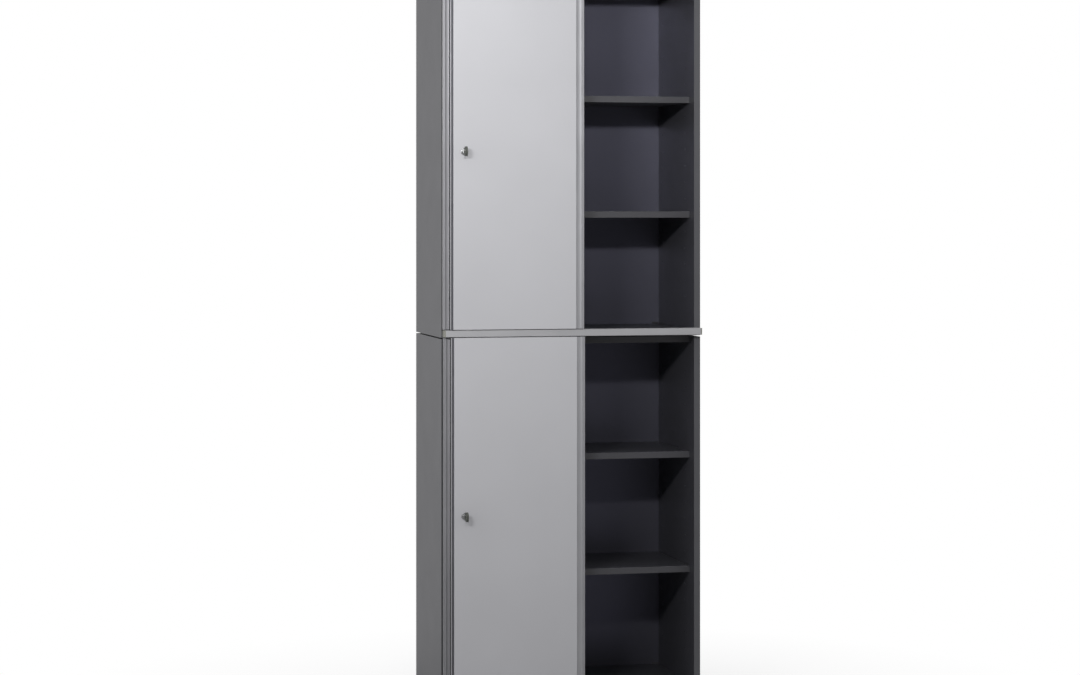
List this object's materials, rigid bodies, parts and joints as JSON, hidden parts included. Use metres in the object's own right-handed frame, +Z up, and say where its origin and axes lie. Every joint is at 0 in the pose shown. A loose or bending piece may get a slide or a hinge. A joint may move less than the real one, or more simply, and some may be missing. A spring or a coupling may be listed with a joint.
{
  "type": "stacked sliding-door filing cabinet",
  "caption": "Tall two-part filing cabinet with overlay sliding doors on aluminium rails, grip profiles, push locks with keys, adjustable shelves and levelling feet.",
  "frame": {"origin": "on the floor, under the middle of the overall box, keys included", "axes": "+Z up, +Y from the doors to the back panel, +X to the right as seen from the front"},
  "size_m": [0.8, 0.498, 2.25],
  "materials": {
    "carcass_laminate": "graphite melamine faced board, fine pearl texture",
    "back_board": "graphite lacquered hardboard",
    "door_laminate": "light grey melamine faced board, smooth matt",
    "rail_aluminium": "silver anodised extrusion",
    "profile_aluminium": "silver anodised extrusion",
    "cap_plastic": "moulded grey plastic",
    "gear_plastic": "moulded dark plastic",
    "feet_plastic": "moulded black plastic",
    "roller_nylon": "turned nylon",
    "nickel_lock": "nickel plated, polished",
    "nickel_pins": "zinc plated steel",
    "key_plastic": "dark moulded bow on a steel blade"
  },
  "bodies": {
    "root": {"lower_side_left": "carcass_laminate", "lower_side_right": "carcass_laminate", "lower_floor_board": "carcass_laminate", "lower_top_board": "carcass_laminate", "lower_back_panel": "back_board", "lower_shelf_low": "carcass_laminate", "lower_shelf_high": "carcass_laminate", "upper_side_left": "carcass_laminate", "upper_side_right": "carcass_laminate", "upper_floor_board": "carcass_laminate", "upper_top_board": "carcass_laminate", "upper_back_panel": "back_board", "upper_shelf_low": "carcass_laminate", "upper_shelf_high": "carcass_laminate", "cover_board": "carcass_laminate", "plinth_panel": "carcass_laminate", "levelling_feet": "feet_plastic", "unit_spacers": "feet_plastic", "shelf_pins": "nickel_pins", "back_panel_clips": "cap_plastic", "base_rail": "rail_aluminium", "seam_rail": "rail_aluminium", "head_guide": "rail_aluminium", "rail_end_caps": "cap_plastic"},
    "lower_rear_door": {"lower_rear_panel": "door_laminate", "lower_rear_grip": "profile_aluminium", "lower_rear_strip": "profile_aluminium", "lower_rear_carriers": "gear_plastic", "lower_rear_shoes": "gear_plastic"},
    "lower_rear_roller_left": {"lower_rear_roller_left": "roller_nylon"},
    "lower_rear_roller_right": {"lower_rear_roller_right": "roller_nylon"},
    "lower_front_door": {"lower_front_panel": "door_laminate", "lower_front_grip": "profile_aluminium", "lower_front_strip": "profile_aluminium", "lower_front_carriers": "gear_plastic", "lower_front_shoes": "gear_plastic", "lower_lock_housing": "nickel_lock"},
    "lower_front_roller_left": {"lower_front_roller_left": "roller_nylon"},
    "lower_front_roller_right": {"lower_front_roller_right": "roller_nylon"},
    "lower_barrel": {"lower_lock_barrel": "nickel_lock"},
    "lower_key": {"lower_lock_plug": "nickel_lock", "lower_key": "key_plastic"},
    "upper_rear_door": {"upper_rear_panel": "door_laminate", "upper_rear_grip": "profile_aluminium", "upper_rear_strip": "profile_aluminium", "upper_rear_carriers": "gear_plastic", "upper_rear_shoes": "gear_plastic"},
    "upper_rear_roller_left": {"upper_rear_roller_left": "roller_nylon"},
    "upper_rear_roller_right": {"upper_rear_roller_right": "roller_nylon"},
    "upper_front_door": {"upper_front_panel": "door_laminate", "upper_front_grip": "profile_aluminium", "upper_front_strip": "profile_aluminium", "upper_front_carriers": "gear_plastic", "upper_front_shoes": "gear_plastic", "upper_lock_housing": "nickel_lock"},
    "upper_front_roller_left": {"upper_front_roller_left": "roller_nylon"},
    "upper_front_roller_right": {"upper_front_roller_right": "roller_nylon"},
    "upper_barrel": {"upper_lock_barrel": "nickel_lock"},
    "upper_key": {"upper_lock_plug": "nickel_lock", "upper_key": "key_plastic"}
  },
  "joints": [
    {"name": "lower_rear_slide", "type": "slide", "parent": "root", "child": "lower_rear_door", "axis": [1, 0, 0], "range_m": [-0.0025, 0.3695]},
    {"name": "lower_rear_roller_left_spin", "type": "hinge", "parent": "lower_rear_door", "child": "lower_rear_roller_left", "pos_m": [-0.337, -0.1805, 0.0958], "axis": [0, 1, 0], "continuous": true},
    {"name": "lower_rear_roller_right_spin", "type": "hinge", "parent": "lower_rear_door", "child": "lower_rear_roller_right", "pos_m": [-0.03, -0.1805, 0.0958], "axis": [0, 1, 0], "continuous": true},
    {"name": "lower_front_slide", "type": "slide", "parent": "root", "child": "lower_front_door", "axis": [1, 0, 0], "range_m": [-0.0025, 0.3685]},
    {"name": "lower_front_roller_left_spin", "type": "hinge", "parent": "lower_front_door", "child": "lower_front_roller_left", "pos_m": [-0.318, -0.2005, 0.0958], "axis": [0, 1, 0], "continuous": true},
    {"name": "lower_front_roller_right_spin", "type": "hinge", "parent": "lower_front_door", "child": "lower_front_roller_right", "pos_m": [-0.029, -0.2005, 0.0958], "axis": [0, 1, 0], "continuous": true},
    {"name": "lower_lock_push", "type": "slide", "parent": "lower_front_door", "child": "lower_barrel", "axis": [0, 1, 0], "range_m": [0, 0.008]},
    {"name": "lower_key_turn", "type": "hinge", "parent": "lower_barrel", "child": "lower_key", "pos_m": [-0.335, -0.22, 0.619], "axis": [0, 1, 0], "range_deg": [0, 90]},
    {"name": "upper_rear_slide", "type": "slide", "parent": "root", "child": "upper_rear_door", "axis": [1, 0, 0], "range_m": [0, 0.372]},
    {"name": "upper_rear_roller_left_spin", "type": "hinge", "parent": "upper_rear_door", "child": "upper_rear_roller_left", "pos_m": [-0.3395, -0.1805, 1.1778], "axis": [0, 1, 0], "continuous": true},
    {"name": "upper_rear_roller_right_spin", "type": "hinge", "parent": "upper_rear_door", "child": "upper_rear_roller_right", "pos_m": [-0.0325, -0.1805, 1.1778], "axis": [0, 1, 0], "continuous": true},
    {"name": "upper_front_slide", "type": "slide", "parent": "root", "child": "upper_front_door", "axis": [1, 0, 0], "range_m": [0, 0.371]},
    {"name": "upper_front_roller_left_spin", "type": "hinge", "parent": "upper_front_door", "child": "upper_front_roller_left", "pos_m": [-0.3205, -0.2005, 1.1778], "axis": [0, 1, 0], "continuous": true},
    {"name": "upper_front_roller_right_spin", "type": "hinge", "parent": "upper_front_door", "child": "upper_front_roller_right", "pos_m": [-0.0315, -0.2005, 1.1778], "axis": [0, 1, 0], "continuous": true},
    {"name": "upper_lock_push", "type": "slide", "parent": "upper_front_door", "child": "upper_barrel", "axis": [0, 1, 0], "range_m": [0, 0.008]},
    {"name": "upper_key_turn", "type": "hinge", "parent": "upper_barrel", "child": "upper_key", "pos_m": [-0.3375, -0.22, 1.701], "axis": [0, 1, 0], "range_deg": [0, 90]}
  ],
  "couplings": [
    {"joint": "lower_rear_roller_left_spin", "follows": "lower_rear_slide", "rad_per_m": 100},
    {"joint": "lower_rear_roller_right_spin", "follows": "lower_rear_slide", "rad_per_m": 100},
    {"joint": "lower_front_roller_left_spin", "follows": "lower_front_slide", "rad_per_m": 100},
    {"joint": "lower_front_roller_right_spin", "follows": "lower_front_slide", "rad_per_m": 100},
    {"joint": "upper_rear_roller_left_spin", "follows": "upper_rear_slide", "rad_per_m": 100},
    {"joint": "upper_rear_roller_right_spin", "follows": "upper_rear_slide", "rad_per_m": 100},
    {"joint": "upper_front_roller_left_spin", "follows": "upper_front_slide", "rad_per_m": 100},
    {"joint": "upper_front_roller_right_spin", "follows": "upper_front_slide", "rad_per_m": 100}
  ]
}
